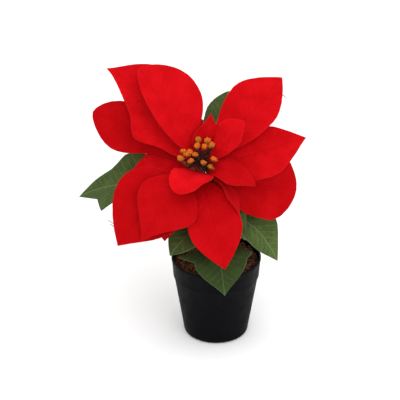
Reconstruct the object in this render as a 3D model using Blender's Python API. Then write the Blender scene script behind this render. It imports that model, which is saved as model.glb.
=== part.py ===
"""Artificial poinsettia in a small black nursery pot, one solid for each piece.

Metres, +Z up. The origin is the middle of the pot's flat base, the front is
-Y and the right is +X. Sizes in the tables are millimetres, and angles are
degrees. Every piece keeps a small gap to the piece that it touches.
"""

import math
from dataclasses import dataclass

import bmesh
import bpy
from mathutils import Vector, noise

MM = 0.001
GAP = 0.3 * MM

# Pot
POT_HEIGHT = 85 * MM
POT_RIM_RADIUS = 45 * MM
POT_SHOULDER_RADIUS = 42.3 * MM
POT_BASE_RADIUS = 32 * MM
POT_WALL = 1.3 * MM
POT_FLOOR = 2.0 * MM
POT_CORNER = 4.5 * MM
POT_COLLAR_HEIGHT = 21 * MM
POT_COLLAR_STEP = 0.8 * MM
POT_LIP = 0.5 * MM
POT_LIP_HEIGHT = 3.0 * MM
POT_SIDES = 48

# Filling
FILLER_TOP = 66 * MM
COIR_EDGE = 80 * MM
COIR_CROWN = 4 * MM
COIR_LUMP = 1.6 * MM
COIR_GRAIN = 7 * MM
COIR_RINGS = 6
COIR_SIDES = 36

# Stem: upright in the pot, then along a curve that these points pull
STEM_FOOT = 22 * MM
STEM_POINTS = ((0, 0, 88), (0, 0, 108), (-6, 16, 142), (-17, 7, 170), (-17, -5, 192))
STEM_RADIUS = 2.4 * MM
STEM_HEAD_RADIUS = 3.6 * MM
STEM_HEAD_LENGTH = 30 * MM
STEM_SIDES = 12
STEM_ROWS = 20

# Buds on their stalks, as places right, up and forward of the stem's top
HEAD_LEAN = 24
BUD_PLACES = (
    (-1, 16, 14), (-2, 9, 13), (8, 15, 14), (12, 10, 13), (5, 8, 13),
    (-15, 3, 12), (-12, -1, 12), (-9, 1, 13), (-4, -2, 13), (-18, -4, 10),
    (-8, -9, 12), (4, -10, 11), (14, -6, 11), (11, -14, 9),
)
BUD_LENGTH = 6.5 * MM
BUD_RADIUS = 2.5 * MM
BUD_SIDES = 7
BUD_STALK_RADIUS = 0.6 * MM
BUD_STALK_SIDES = 4
BUD_CUSHION = 5.5 * MM

# Blades, the bracts and leaves
BLADE_THICKNESS = 0.8 * MM
SEAT_GAP = 0.85 * MM
STALK_HALF = 1.6 * MM
STALK_PUSH = 7.0 * MM


@dataclass
class Blade:
    """One bract or leaf, as a midrib from the stem to a tip with two halves.

    seat is how far below the stem's top it is rooted, and side is the compass
    side of the stem, 0 at +X and 90 at +Y. tip is where it ends, and face is
    the way its upper side looks. left and right are its half widths, seen
    from its face with the tip up. stalk is the share of its length that is
    a narrow stalk, widest is where along the rest it is widest, and base and
    point are how narrow it starts and ends. arch lifts the midrib
    near the root and near the tip, and sway bows it to the right. fold tilts
    each half up from the midrib, wave is the height of the waves in its
    margin, and waves is how many there are. swells are (side, place along it,
    reach, span) bulges of the margin, and lobes are (side, place along it,
    reach) points of a cut margin.
    """

    name: str
    seat: float
    side: float
    tip: tuple
    face: tuple
    left: float
    right: float
    stalk: float = 0.08
    widest: float = 0.45
    base: float = 0.8
    point: float = 1.0
    arch: tuple = (8, 6)
    sway: float = 0
    fold: tuple = (8, 8)
    wave: float = 1.0
    waves: float = 2.0
    swells: tuple = ()
    lobes: tuple = ()
    rows: int = 12
    columns: int = 8


BRACTS = (
    # Outer ring, the largest and lowest
    Blade("bract_outer_upper_left", seat=16.5, side=148, tip=(-109, 62, 262), face=(0.3, -0.8, 0.5),
          left=31, right=34, widest=0.42, base=0.75, point=1.2, arch=(-1, 8), sway=16, fold=(12, -6),
          wave=1.5, swells=((-1, 0.44, 9, 0.2), (1, 0.77, 12, 0.26))),
    Blade("bract_outer_left", seat=22, side=164, tip=(-123, 48, 221), face=(-0.25, -0.8, 0.45),
          left=26, right=24, widest=0.68, base=2.6, point=0.65, arch=(-5, 4), sway=9),
    Blade("bract_outer_left_low", seat=27.5, side=200, tip=(-92, 8, 164), face=(0, -0.6, 0.8),
          left=15, right=36, widest=0.42, arch=(2, 2)),
    Blade("bract_outer_front_left", seat=18, side=215, tip=(-97, -35, 115), face=(-0.1, -0.85, 0.5),
          left=33, right=41, widest=0.43, point=1.0, arch=(14, 8), sway=7, wave=1.5),
    Blade("bract_outer_front_low", seat=29, side=245, tip=(-51, -22, 113), face=(-0.1, -0.7, 0.6),
          left=8, right=26, widest=0.4, point=1.3, arch=(4, 4), swells=((1, 0.8, 17, 0.25),)),
    Blade("bract_outer_right_low", seat=20, side=335, tip=(79, 5, 156), face=(0.4, -0.8, 0.4),
          left=34, right=34, widest=0.68, base=0.4, point=0.6, wave=2, waves=3),
    Blade("bract_outer_back_left", seat=24, side=115, tip=(-46, 92, 212), face=(0, -0.5, 0.9),
          left=24, right=24),
    Blade("bract_outer_back_right", seat=21, side=55, tip=(52, 92, 208), face=(0, -0.5, 0.9),
          left=24, right=24),
    # Middle ring
    Blade("bract_middle_upper_left", seat=11, side=135, tip=(-77, 50, 268), face=(0.2, -0.9, 0.4),
          left=13, right=39, stalk=0.16, widest=0.55, base=0.6, point=0.7, arch=(12, 26),
          swells=((1, 0.4, 2, 0.3),)),
    Blade("bract_middle_upper_right", seat=10, side=50, tip=(64, 36, 264), face=(-0.3, -0.85, 0.4),
          left=30, right=24, widest=0.62, base=0.9, point=0.95, arch=(3, 10), sway=3, fold=(14, 14)),
    Blade("bract_middle_right", seat=14, side=0, tip=(87, 2, 215), face=(-0.1, -0.7, 0.7),
          left=24, right=30, widest=0.52, base=0.5, point=1.05, arch=(5, 6)),
    Blade("bract_middle_front_left", seat=11, side=225, tip=(-74, -47, 125), face=(-0.2, -0.7, 0.7),
          left=31, right=30, widest=0.42, point=1.5, arch=(20, 12), swells=((-1, 0.48, 6, 0.3),)),
    Blade("bract_middle_front", seat=13, side=272, tip=(8, -68, 107), face=(0, -0.8, 0.6),
          left=27, right=26, stalk=0.1, widest=0.52, base=0.55, point=1.0, arch=(16, 12)),
    # Inner ring, the smallest
    Blade("bract_inner_front", seat=7.5, side=264, tip=(-38, -46, 178), face=(-0.1, -0.4, 1),
          left=19, right=18, widest=0.5, base=0.45, point=0.5, arch=(12, 8),
          swells=((-1, 0.22, 6, 0.25),), rows=9, columns=6),
    Blade("bract_inner_right", seat=4, side=20, tip=(27, -12, 239), face=(-0.3, -0.6, 0.5),
          left=17, right=13, widest=0.62, base=0.8, point=0.85, arch=(-5, 4), rows=9, columns=6),
    Blade("bract_inner_back", seat=4, side=90, tip=(-5, 16, 236), face=(0.2, -1, 0.1),
          left=12, right=9, widest=0.28, base=0.7, point=1.6, arch=(0, 0),
          swells=((1, 0.7, 5, 0.3),), rows=9, columns=6),
    Blade("bract_inner_front_right", seat=4, side=330, tip=(37, -40, 184), face=(0.2, -0.5, 0.8),
          left=12, right=13, base=0.45, point=0.7, swells=((-1, 0.28, 6, 0.3), (1, 0.6, 3, 0.3)),
          rows=9, columns=6),
    Blade("bract_inner_low_right", seat=10, side=318, tip=(22, -50, 157), face=(0.75, -0.2, 0.6),
          left=12, right=11, base=0.6, rows=9, columns=6),
)

LEAVES = (
    Blade("leaf_left", seat=46, side=150, tip=(-140, 58, 121), face=(0, -0.5, 0.85),
          left=22, right=26, arch=(32, 26), swells=((1, 0.48, 9, 0.25),),
          lobes=((-1, 0.66, 16), (1, 0.6, 4)), rows=14),
    Blade("leaf_back_right", seat=15, side=85, tip=(13, 84, 228), face=(0, -0.8, 0.6),
          left=14, right=20, widest=0.6, base=1.0, point=0.8),
    Blade("leaf_front_left", seat=70, side=225, tip=(-46, -30, 101), face=(-0.3, -0.5, 0.8),
          left=20, right=20),
    Blade("leaf_front", seat=82, side=280, tip=(8, -60, 73), face=(0, -0.6, 0.8),
          left=26, right=26, widest=0.5, point=1.2, arch=(6, 12), lobes=((-1, 0.45, 8), (1, 0.42, 17)),
          rows=14),
    Blade("leaf_right", seat=62, side=345, tip=(61, -15, 87), face=(0.3, -0.5, 0.8),
          left=26, right=20, arch=(24, 20)),
    Blade("leaf_front_right", seat=33, side=305, tip=(28, -36, 122), face=(0.3, -0.6, 0.8),
          left=16, right=16),
    Blade("leaf_back_left", seat=64, side=125, tip=(-60, 90, 150), face=(0, 0, 1),
          left=20, right=20, arch=(14, 14)),
    Blade("leaf_back", seat=29, side=35, tip=(68, 66, 128), face=(0, -0.7, 0.7), left=26, right=24,
          stalk=0.02, base=0.25, arch=(8, 12)),
)


def clear_scene():
    for item in list(bpy.data.objects):
        bpy.data.objects.remove(item, do_unlink=True)


def make_material(name, colour, roughness):
    material = bpy.data.materials.new(name)
    material.use_nodes = True
    shader = material.node_tree.nodes["Principled BSDF"]
    shader.inputs["Base Color"].default_value = (*colour, 1)
    shader.inputs["Roughness"].default_value = roughness
    return material


def add_object(name, bm, material, sharp=40):
    """Put a bmesh into the scene as a named object, shaded smooth."""
    bmesh.ops.recalc_face_normals(bm, faces=bm.faces)
    mesh = bpy.data.meshes.new(name)
    bm.to_mesh(mesh)
    bm.free()
    mesh.materials.append(material)
    mesh.shade_smooth()
    mesh.set_sharp_from_angle(angle=math.radians(sharp))
    item = bpy.data.objects.new(name, mesh)
    bpy.context.collection.objects.link(item)
    return item


def skin(bm, first, second):
    """Join two rings of points with faces, either of which may be one point."""
    count = max(len(first), len(second))
    for step in range(count):
        after = (step + 1) % count
        corners = [first[step % len(first)], first[after % len(first)],
                   second[after % len(second)], second[step % len(second)]]
        bm.faces.new(list(dict.fromkeys(corners)))


def ring_at(bm, middle, across, along, radius, sides):
    """A ring of points, or one point where the radius is nothing."""
    if radius < 0.01 * MM:
        return [bm.verts.new(middle)]
    ring = []
    for step in range(sides):
        angle = 2 * math.pi * step / sides
        ring.append(bm.verts.new(middle + radius * (math.cos(angle) * across + math.sin(angle) * along)))
    return ring


def turned(profile, sides):
    """Turn a profile of (radius, height) round Z, joined into a closed skin."""
    bm = bmesh.new()
    across, along = Vector((1, 0, 0)), Vector((0, 1, 0))
    rings = [ring_at(bm, Vector((0, 0, height)), across, along, radius, sides)
             for radius, height in profile]
    for upper, lower in zip(rings, rings[1:] + rings[:1]):
        if len(upper) > 1 or len(lower) > 1:
            skin(bm, upper, lower)
    return bm


def wall_radius(height):
    """Outer radius of the pot's tapered body below its collar."""
    part = height / (POT_HEIGHT - POT_COLLAR_HEIGHT)
    return POT_BASE_RADIUS + (POT_SHOULDER_RADIUS - POT_BASE_RADIUS) * part


def bore_radius(height):
    """Inner radius of the pot."""
    spread = POT_RIM_RADIUS - POT_LIP - POT_BASE_RADIUS
    return POT_BASE_RADIUS - POT_WALL + spread * height / POT_HEIGHT


def pot_corner(steps=3):
    """Rounded edge from the pot's side to its base."""
    middle = wall_radius(POT_CORNER) - POT_CORNER
    points = []
    for step in range(steps + 1):
        angle = math.pi / 2 * step / steps
        points.append((middle + POT_CORNER * math.cos(angle), POT_CORNER * (1 - math.sin(angle))))
    return points


def build_pot(material):
    collar = POT_HEIGHT - POT_COLLAR_HEIGHT
    edge = 0.6 * MM
    profile = [
        (bore_radius(POT_HEIGHT), POT_HEIGHT - edge),
        (bore_radius(POT_HEIGHT) + edge, POT_HEIGHT),
        (POT_RIM_RADIUS - edge, POT_HEIGHT),
        (POT_RIM_RADIUS, POT_HEIGHT - edge),
        (POT_RIM_RADIUS, POT_HEIGHT - POT_LIP_HEIGHT),
        (POT_RIM_RADIUS - POT_LIP, POT_HEIGHT - POT_LIP_HEIGHT - POT_LIP),
        (wall_radius(collar) + POT_COLLAR_STEP, collar),
        (wall_radius(collar), collar - POT_COLLAR_STEP),
    ]
    profile += pot_corner()
    profile += [(0, 0), (0, POT_FLOOR), (bore_radius(POT_FLOOR) - POT_CORNER, POT_FLOOR),
                (bore_radius(POT_FLOOR + POT_CORNER), POT_FLOOR + POT_CORNER)]
    return add_object("pot", turned(profile, POT_SIDES), material)


def build_filler(material):
    """Plug of filler in the pot, with a plain hole for the stem."""
    low = POT_FLOOR + GAP
    hole = STEM_RADIUS + GAP
    hole_floor = STEM_FOOT - GAP
    corner = bore_radius(POT_FLOOR) - POT_CORNER - GAP
    profile = [
        (hole, FILLER_TOP),
        (bore_radius(FILLER_TOP) - GAP, FILLER_TOP),
        (bore_radius(low + POT_CORNER) - GAP, low + POT_CORNER),
        (corner, low),
        (0, low),
        (0, hole_floor),
        (hole, hole_floor),
    ]
    return add_object("filler", turned(profile, POT_SIDES), material)


def coir_height(place, reach):
    """Height of the coir's crumbly top at a place, reach being 0 to 1."""
    lump = noise.noise(place / COIR_GRAIN) + 0.5 * noise.noise(place * 2.3 / COIR_GRAIN)
    return COIR_EDGE + COIR_CROWN * (1 - reach * reach) + COIR_LUMP * lump


def build_coir(material):
    """Layer of coir on the filler, lumpy on top, with a plain hole for the stem."""
    bm = bmesh.new()
    hole = STEM_RADIUS + GAP
    rim = bore_radius(COIR_EDGE) - 1.5 * GAP
    low = FILLER_TOP + GAP
    rings = []
    for ring in range(COIR_RINGS + 1):
        reach = ring / COIR_RINGS
        radius = hole + (rim - hole) * reach
        points = []
        for step in range(COIR_SIDES):
            angle = 2 * math.pi * step / COIR_SIDES
            place = Vector((radius * math.cos(angle), radius * math.sin(angle), 0))
            place.z = coir_height(place, reach)
            points.append(bm.verts.new(place))
        rings.append(points)
    across, along = Vector((1, 0, 0)), Vector((0, 1, 0))
    base = Vector((0, 0, low))
    rings.append(ring_at(bm, base, across, along, bore_radius(low) - 1.5 * GAP, COIR_SIDES))
    rings.append(ring_at(bm, base, across, along, hole, COIR_SIDES))
    for inner, outer in zip(rings, rings[1:] + rings[:1]):
        skin(bm, inner, outer)
    bmesh.ops.triangulate(bm, faces=bm.faces)
    return add_object("coir_topping", bm, material)


def curve_point(points, part):
    """Point on the smooth curve that points pull, by repeated halfway blends."""
    level = [Vector(point) for point in points]
    while len(level) > 1:
        level = [first.lerp(second, part) for first, second in zip(level, level[1:])]
    return level[0]


def curve_way(points, part):
    step = 0.001
    low, high = max(part - step, 0), min(part + step, 1)
    return (curve_point(points, high) - curve_point(points, low)).normalized()


def stem_point(part):
    return curve_point(STEM_POINTS, part) * MM


def stem_radius(part):
    """Thin below, thicker in the head where the bracts are rooted."""
    left = (stem_point(1) - stem_point(part)).length
    blend = min(max((STEM_HEAD_LENGTH - left) / (8 * MM), 0), 1)
    return STEM_RADIUS + (STEM_HEAD_RADIUS - STEM_RADIUS) * blend


def stem_part(seat):
    """How far along the stem a seat is that lies this far below its top."""
    low, high = 0.0, 1.0
    for _ in range(40):
        middle = (low + high) / 2
        if (stem_point(1) - stem_point(middle)).length > seat * MM:
            low = middle
        else:
            high = middle
    return low


def build_stem(material):
    """Stem from its foot in the filler to the flower head."""
    bm = bmesh.new()
    side = Vector((1, 0, 0))
    rings = [ring_at(bm, Vector((0, 0, STEM_FOOT)), side, Vector((0, 1, 0)), STEM_RADIUS, STEM_SIDES)]
    for row in range(STEM_ROWS + 1):
        part = row / STEM_ROWS
        way = curve_way(STEM_POINTS, part)
        along = way.cross(side).normalized()
        rings.append(ring_at(bm, stem_point(part), along.cross(way), along, stem_radius(part),
                             STEM_SIDES))
    for lower, upper in zip(rings, rings[1:]):
        skin(bm, lower, upper)
    bm.faces.new(rings[0])
    bm.faces.new(rings[-1])
    bmesh.ops.triangulate(bm, faces=bm.faces)
    return add_object("stem", bm, material)


def spindle(name, start, end, profile, sides, material):
    """Closed turned body from start to end, profile giving (part, radius)."""
    bm = bmesh.new()
    way = (end - start).normalized()
    across = way.orthogonal().normalized()
    along = way.cross(across)
    rings = [ring_at(bm, start.lerp(end, part), across, along, radius, sides)
             for part, radius in profile]
    for lower, upper in zip(rings, rings[1:]):
        skin(bm, lower, upper)
    for cap in (rings[0], rings[-1]):
        if len(cap) > 2:
            bm.faces.new(cap)
    return add_object(name, bm, material)


def bud_place(place):
    """Where a bud's middle is, from its place right, up and forward."""
    lean = math.radians(HEAD_LEAN)
    right, up, forward = place
    rise = Vector((0, math.cos(lean), math.sin(lean))) * up
    reach = Vector((0, -math.sin(lean), math.cos(lean))) * forward
    return stem_point(1) + (Vector((right, 0, 0)) + rise + reach) * MM


def build_buds(material):
    """Cushion on the stem's top, with the stalks and buds joined to it."""
    way = curve_way(STEM_POINTS, 1)
    foot = stem_point(1) + way * GAP
    radius = BUD_CUSHION
    head = spindle("flower_buds", foot, foot + way * 1.4 * radius,
                   ((0, 0.6 * radius), (0.45, radius), (0.8, 0.7 * radius), (1, 0)), STEM_SIDES, material)
    pieces = bpy.data.collections.new("bud_pieces")
    heart = foot + way * 0.6 * radius
    swell = ((0, 0.3), (0.12, 0.72), (0.4, 1), (0.7, 0.9), (0.92, 0.5), (1, 0))
    for place in BUD_PLACES:
        middle = bud_place(place)
        lean = (middle - heart).normalized()
        half = lean * BUD_LENGTH / 2
        stalk = spindle("stalk", heart, middle,
                        ((0, 1.3 * BUD_STALK_RADIUS), (1, BUD_STALK_RADIUS)), BUD_STALK_SIDES, material)
        bud = spindle("bud", middle - half, middle + half,
                      [(part, share * BUD_RADIUS) for part, share in swell], BUD_SIDES, material)
        for piece in (stalk, bud):
            bpy.context.collection.objects.unlink(piece)
            pieces.objects.link(piece)
    join = head.modifiers.new("join", "BOOLEAN")
    join.operation = "UNION"
    join.operand_type = "COLLECTION"
    join.collection = pieces
    join.solver = "EXACT"
    apply_modifiers(head)
    for piece in list(pieces.objects):
        bpy.data.objects.remove(piece, do_unlink=True)
    bpy.data.collections.remove(pieces)
    return head


def apply_modifiers(item):
    """Turn the object's modified shape into its own mesh."""
    bpy.context.view_layer.update()
    shape = item.evaluated_get(bpy.context.evaluated_depsgraph_get())
    mesh = bpy.data.meshes.new_from_object(shape)
    item.modifiers.clear()
    item.data = mesh


def seat_point(blade):
    """Where a blade is rooted, just off the stem's skin, and the way out."""
    part = stem_part(blade.seat)
    way = curve_way(STEM_POINTS, part)
    angle = math.radians(blade.side)
    out = Vector((math.cos(angle), math.sin(angle), 0))
    out = (out - out.dot(way) * way).normalized()
    return stem_point(part) + out * (stem_radius(part) + SEAT_GAP), out


def blade_frame(blade):
    """Root, control points, tip and side line of a blade."""
    root, out = seat_point(blade)
    tip = Vector(blade.tip) * MM
    way = (tip - root).normalized()
    face = Vector(blade.face)
    face = (face - face.dot(way) * way).normalized()
    right = way.cross(face)
    third = (tip - root) / 3
    bow = right * blade.sway * MM
    near = root + third + face * blade.arch[0] * MM + bow + out * STALK_PUSH
    far = root + third * 2 + face * blade.arch[1] * MM + bow
    return (root, near, far, tip), right


def blade_half_width(blade, side, part):
    """Half width at a part of the length, with the lobes of a cut margin."""
    if part <= blade.stalk:
        return STALK_HALF * min(1, 0.5 + 6 * part)
    run = (part - blade.stalk) / (1 - blade.stalk)
    if run >= 1:
        return 0.0
    if run < blade.widest:
        shape = math.sin(math.pi / 2 * run / blade.widest) ** blade.base
    else:
        shape = math.cos(math.pi / 2 * (run - blade.widest) / (1 - blade.widest)) ** blade.point
    width = shape * (blade.left if side < 0 else blade.right)
    for swell_side, place, reach, span in blade.swells:
        if swell_side * side > 0:
            near = max(0, 1 - abs(part - place) / span)
            width += reach * near * near * (3 - 2 * near)
    for lobe_side, place, reach in blade.lobes:
        if lobe_side * side > 0:
            width += reach * max(0, 1 - abs(part - place) / 0.1)
    return max(width * MM, STALK_HALF * (1 - run))


def blade_point(blade, frame, part, across):
    """Point on the blade, part along the midrib and across from -1 to 1."""
    points, right = frame
    middle = curve_point(points, part)
    way = curve_way(points, part)
    right = (right - right.dot(way) * way).normalized()
    up = right.cross(way)
    half = blade_half_width(blade, across, part)
    spread = min(1, part / 0.25)
    pick = 0 if across < 0 else 1
    bend = math.radians(blade.fold[pick]) * spread
    reach = half * abs(across)
    ripple = math.sin(2 * math.pi * (blade.waves * part + 0.3 * pick))
    fade = across * across * min(1, part * 3) * min(1, (1 - part) * 4)
    rise = reach * math.sin(bend) + blade.wave * MM * ripple * fade
    return middle + right * math.copysign(reach * math.cos(bend), across) + up * rise


def build_blade(blade, material):
    bm = bmesh.new()
    frame = blade_frame(blade)
    rows = []
    for row in range(blade.rows):
        part = row / blade.rows
        rows.append([bm.verts.new(blade_point(blade, frame, part, 2 * column / blade.columns - 1))
                     for column in range(blade.columns + 1)])
    rows.append([bm.verts.new(frame[0][3])])
    for lower, upper in zip(rows, rows[1:]):
        for column in range(blade.columns):
            if len(upper) == 1:
                bm.faces.new((lower[column], lower[column + 1], upper[0]))
            elif column < blade.columns / 2:
                bm.faces.new((lower[column], lower[column + 1], upper[column + 1]))
                bm.faces.new((lower[column], upper[column + 1], upper[column]))
            else:
                bm.faces.new((lower[column], lower[column + 1], upper[column]))
                bm.faces.new((lower[column + 1], upper[column + 1], upper[column]))
    item = add_object(blade.name, bm, material, sharp=80)
    solid = item.modifiers.new("thickness", "SOLIDIFY")
    solid.thickness = BLADE_THICKNESS
    solid.offset = 0
    return item


def main():
    clear_scene()
    plastic = make_material("black_plastic", (0.012, 0.012, 0.014), 0.55)
    foam = make_material("filler_foam", (0.32, 0.36, 0.3), 0.9)
    coir = make_material("brown_coir", (0.07, 0.03, 0.015), 0.95)
    stalk = make_material("green_stalk", (0.06, 0.12, 0.03), 0.6)
    ochre = make_material("ochre_buds", (0.5, 0.22, 0.04), 0.6)
    red = make_material("red_cloth", (0.55, 0.005, 0.01), 0.85)
    green = make_material("green_cloth", (0.06, 0.12, 0.045), 0.8)
    build_pot(plastic)
    build_filler(foam)
    build_coir(coir)
    build_stem(stalk)
    build_buds(ochre)
    for bract in BRACTS:
        build_blade(bract, red)
    for leaf in LEAVES:
        build_blade(leaf, green)


main()
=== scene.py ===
"""Looks of the artificial poinsettia in its pot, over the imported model.

Metres, +Z up, the front is -Y. The blades, which are the bracts and leaves,
repeat the table and the formula of the model's source at a finer step, then
get their pressed veins, cloth and cut edges. Sizes in the tables are
millimetres, and angles are degrees.
"""

import math
import random
from dataclasses import dataclass

import bmesh
import bpy
from mathutils import Matrix, Vector, noise


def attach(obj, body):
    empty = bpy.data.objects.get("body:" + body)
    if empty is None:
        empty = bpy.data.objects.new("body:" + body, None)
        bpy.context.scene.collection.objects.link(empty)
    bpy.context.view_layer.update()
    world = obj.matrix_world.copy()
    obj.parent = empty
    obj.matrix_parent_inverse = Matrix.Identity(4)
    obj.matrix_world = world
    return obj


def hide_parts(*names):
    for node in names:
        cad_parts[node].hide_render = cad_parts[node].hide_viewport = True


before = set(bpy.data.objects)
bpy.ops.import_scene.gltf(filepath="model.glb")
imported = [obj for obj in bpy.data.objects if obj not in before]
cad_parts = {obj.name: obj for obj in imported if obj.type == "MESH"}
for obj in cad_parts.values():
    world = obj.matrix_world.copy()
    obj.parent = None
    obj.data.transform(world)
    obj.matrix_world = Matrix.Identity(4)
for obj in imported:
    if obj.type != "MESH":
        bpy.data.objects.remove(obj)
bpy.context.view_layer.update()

MM = 0.001
GAP = 0.3 * MM
SEED = 11

# Pot
POT_HEIGHT = 85 * MM
POT_RIM_RADIUS = 45 * MM
POT_SHOULDER_RADIUS = 42.3 * MM
POT_BASE_RADIUS = 32 * MM
POT_WALL = 1.3 * MM
POT_FLOOR = 2.0 * MM
POT_CORNER = 4.5 * MM
POT_CORNER_STEPS = 8
POT_COLLAR_HEIGHT = 21 * MM
POT_COLLAR_STEP = 0.8 * MM
POT_LIP = 0.5 * MM
POT_LIP_HEIGHT = 3.0 * MM
POT_EDGE = 0.55 * MM
POT_EDGE_STEPS = 4
POT_SIDES = 160

# Bed of coir, with lumps and smaller crumbs
FILLER_TOP = 66 * MM
COIR_EDGE = 80 * MM
COIR_CROWN = 4 * MM
COIR_LUMP = 1.6 * MM
COIR_GRAIN = 7 * MM
COIR_FINER = 2.3
COIR_FINER_SHARE = 0.5
COIR_RIM_GAP = 1.5 * GAP
COIR_RINGS = 24
COIR_SIDES = 96
COIR_BED_TONE = 0.12
CRUMB_HEIGHT = 0.7
CRUMB_SIZE = 1.6 * MM
CRUMB_SINK = 0.4 * MM

# Coir fibres on the bed, in millimetres
COIR_FIBRES = 900
FIBRE_AREA = (0.02, 0.97)
FIBRE_FARTHEST = 0.975
FIBRE_TURN = 0.5
FIBRE_LENGTHS = (5, 17)
FIBRE_RADII = (0.15, 0.2, 0.3, 0.45, 0.7)
FIBRE_TAPER = (0.5, 0.9, 1, 1, 0.9, 0.7, 0.3)
FIBRE_STEPS = len(FIBRE_TAPER) - 1
FIBRE_SHORTEST_STEP = 0.2
FIBRE_LIFT = 1.6
FIBRE_DARKER = 1.6
FIBRE_SIDES = 4

# Stem: upright in the pot, then along a curve that these points pull
STEM_FOOT = 22 * MM
STEM_POINTS = ((0, 0, 88), (0, 0, 108), (-6, 16, 142), (-17, 7, 170), (-17, -5, 192))
STEM_RADIUS = 2.4 * MM
STEM_HEAD_RADIUS = 3.6 * MM
STEM_HEAD_LENGTH = 30 * MM
STEM_HEAD_TAPER = 8 * MM
STEM_BUMP = 0.12 * MM
STEM_BUMP_TURNS = 26
STEM_SIDES = 24
STEM_ROWS = 60

# Heads on their stalks, as places right, up and forward of the stem's top
HEAD_LEAN = 24
BUD_PLACES = (
    (-1, 16, 14), (-2, 9, 13), (8, 15, 14), (12, 10, 13), (5, 8, 13),
    (-15, 3, 12), (-12, -1, 12), (-9, 1, 13), (-4, -2, 13), (-18, -4, 10),
    (-8, -9, 12), (4, -10, 11), (14, -6, 11), (11, -14, 9),
)
BUD_LENGTH = 6.5 * MM
BUD_RADIUS = 2.5 * MM
BUD_SHAPE = (1.22 * BUD_RADIUS, 0.92 * BUD_RADIUS, 0.56 * BUD_LENGTH, 1)
BUD_LUMP = 0.34
BUD_CRUMB = 0.20
BUD_GRAIN = 2.3
BUD_CRUMB_GRAIN = 2.4
BUD_BLUNT = 0.10
BUD_CLEFT = 0.16
BUD_CLEFT_WIDTH = 0.22
BUD_APART = 400
BUD_TONE_FALL = 0.4
# Painted shade on the heads where they face down
BUD_SHADE_START = 0.25
BUD_SHADE_FALL = 1.1
BUD_STALK_RADIUS = 0.6 * MM
BUD_STALK_TAPER = (1.9, 1.5, 1.3, 1.2, 1.3, 1.6)
BUD_STALK_SAG = 0.8 * MM
BUD_STALK_SIDES = 8
BUD_CUSHION = 5.5 * MM
CUSHION_HEIGHT = 1.4
CUSHION_HEART = 0.6
CUSHION_STEPS = (0, 0.2, 0.45, 0.65, 0.85, 1)
CUSHION_TAPER = (0.8, 1.0, 1.15, 1.0, 0.6, 0)
CUSHION_SIDES = 24

# Dark filaments between the stalks: some to places given as for the heads,
# and short ones all round the cushion
FILAMENT_RADIUS = 0.75 * MM
FILAMENT_SIDES = 8
FILAMENT_PLACES = (
    (7, 5, 3), (8, 9, 3), (9, 3, 4), (8, -2, 3), (9, -5, 5), (5, -9, 2), (8, -8, 3), (8, -12, 2),
    (6, -13, 2), (4, -12, 3), (9, -10, 4), (-9, -10, 3), (-13, -6, 4), (8, 6, 5), (8, 1, 5),
    (9, -13, 4), (7, -15, 3), (-8, -7, 3), (-11, -9, 3), (10, 5, 5), (7, -1, 4), (7, 0, 2),
    (6, -14, 4), (5, -11, 4), (7, -12, 5), (7, 2, 2), (7, -3, 2), (6, 1, 1), (5, -13, 2),
)
FILAMENT_STEPS = (0.1, 0.4, 0.7, 1)
FILAMENT_TAPER = (1.6, 1.8, 1.8, 0.9)
SHORT_FILAMENTS = 34
SHORT_FILAMENT_TURN = 2.4
SHORT_FILAMENT_TILTS = (25, 88)
SHORT_FILAMENT_LENGTHS = (7.5, 11.5)
SHORT_FILAMENT_STEPS = (0.2, 0.5, 0.8, 1)
SHORT_FILAMENT_TAPER = (1.3, 1.2, 1.1, 0)

# Blades, the bracts and leaves
SEAT_GAP = 0.85 * MM
STALK_HALF = 1.6 * MM
STALK_START = 0.5
STALK_SPREAD = 6
STALK_PUSH = 7.0 * MM
LOBE_SPAN = 0.1
FOLD_START = 0.25
WAVE_SHIFT = 0.3
CLOTH_THICKNESS = 0.45 * MM
BLADE_GRID = (76, 44)
SMALL_GRID = (56, 32)


@dataclass
class Blade:
    """One bract or leaf, as the model's source describes it."""

    name: str
    seat: float
    side: float
    tip: tuple
    face: tuple
    left: float
    right: float
    stalk: float = 0.08
    widest: float = 0.45
    base: float = 0.8
    point: float = 1.0
    arch: tuple = (8, 6)
    sway: float = 0
    fold: tuple = (8, 8)
    wave: float = 1.0
    waves: float = 2.0
    swells: tuple = ()
    lobes: tuple = ()
    small: bool = False


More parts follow.
